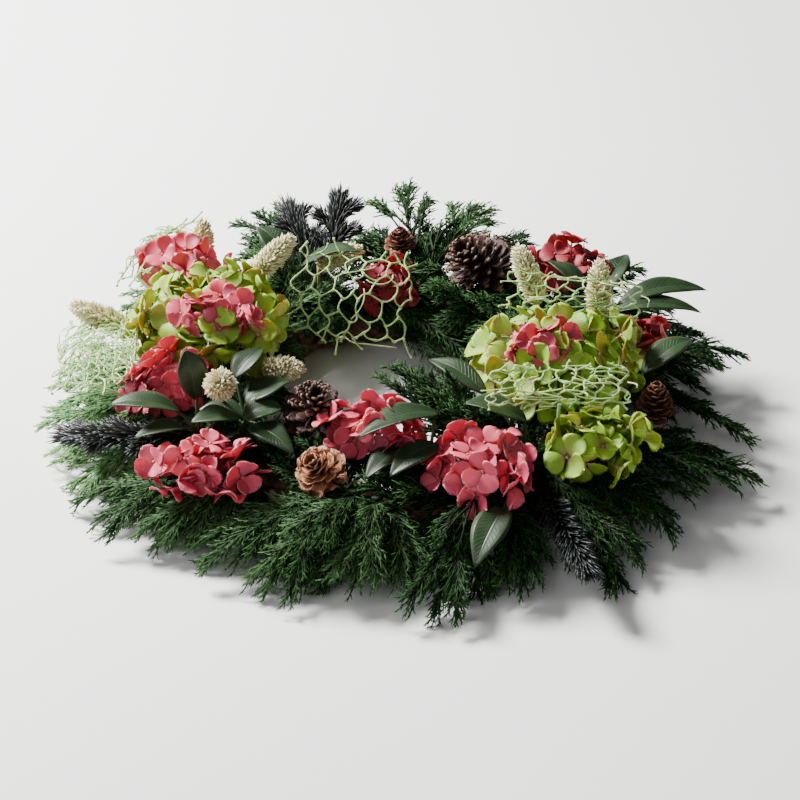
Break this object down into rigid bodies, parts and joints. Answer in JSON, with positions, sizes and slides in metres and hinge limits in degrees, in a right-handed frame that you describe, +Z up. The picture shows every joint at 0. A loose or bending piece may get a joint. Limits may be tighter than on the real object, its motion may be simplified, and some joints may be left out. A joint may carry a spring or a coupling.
{
  "type": "evergreen wreath",
  "caption": "Fresh table wreath: a ring of twisted vine with cypress sprays, fir, leaves, hydrangea heads, cones, grass heads and fibre net round a round open middle.",
  "frame": {"origin": "on the table, under the middle of the wreath's outline", "axes": "+Z up, +Y away from the side seen in the picture, +X to its right, along the longest side"},
  "size_m": [0.4601, 0.4215, 0.1125],
  "materials": {
    "vine": "rough twisted bark",
    "cypress": "matt scale foliage",
    "fir": "satin needles",
    "leaf": "satin leaf",
    "green_petal": "soft petal",
    "pink_petal": "soft petal",
    "red_petal": "soft petal",
    "grass": "dry papery spikelets",
    "pine_cone": "dry scales",
    "larch_cone": "dry scales",
    "net": "matt fibre"
  },
  "bodies": {
    "root": {"pine_cone_front": "pine_cone", "pine_cone_back": "pine_cone", "larch_cone_front": "larch_cone", "larch_cone_right": "larch_cone", "larch_cone_back": "larch_cone", "grass_head_top_left": "grass", "grass_head_back_left": "grass", "grass_head_left": "grass", "grass_head_right": "grass", "grass_head_far_right": "grass", "grass_head_inner": "grass", "grass_head_back": "grass", "grass_head_front": "grass", "pink_hydrangea_in_left": "pink_petal", "pink_hydrangea_in_right": "pink_petal", "green_hydrangea_left": "green_petal", "green_hydrangea_right": "green_petal", "green_hydrangea_low_right": "green_petal", "pink_hydrangea_top_left": "pink_petal", "pink_hydrangea_left": "pink_petal", "pink_hydrangea_front_left": "pink_petal", "pink_hydrangea_centre": "pink_petal", "pink_hydrangea_front": "pink_petal", "pink_hydrangea_right": "red_petal", "red_hydrangea_back": "red_petal", "red_hydrangea_back_right": "red_petal", "leafy_twig_left": "leaf", "leafy_twig_far_left": "leaf", "leafy_twig_back_left": "leaf", "leafy_twig_back_right": "leaf", "leafy_twig_right": "leaf", "leafy_twig_centre": "leaf", "leafy_twig_front": "leaf", "leafy_twig_low_front": "leaf", "fibre_net_back": "net", "fibre_net_top_right": "net", "fibre_net_low_right": "net", "fibre_net_left": "net", "fibre_net_top_left": "net", "fir_sprig_left": "fir", "fir_sprig_back": "fir", "fir_sprig_front": "fir", "cypress_inner_1": "cypress", "cypress_inner_2": "cypress", "cypress_inner_3": "cypress", "cypress_inner_4": "cypress", "cypress_inner_5": "cypress", "cypress_outer_1": "cypress", "cypress_outer_2": "cypress", "cypress_outer_3": "cypress", "cypress_outer_4": "cypress", "cypress_outer_5": "cypress", "cypress_outer_6": "cypress", "cypress_outer_7": "cypress", "cypress_outer_8": "cypress", "cypress_outer_9": "cypress", "cypress_outer_10": "cypress", "cypress_outer_11": "cypress", "cypress_outer_12": "cypress", "vine_ring": "vine"}
  },
  "joints": []
}
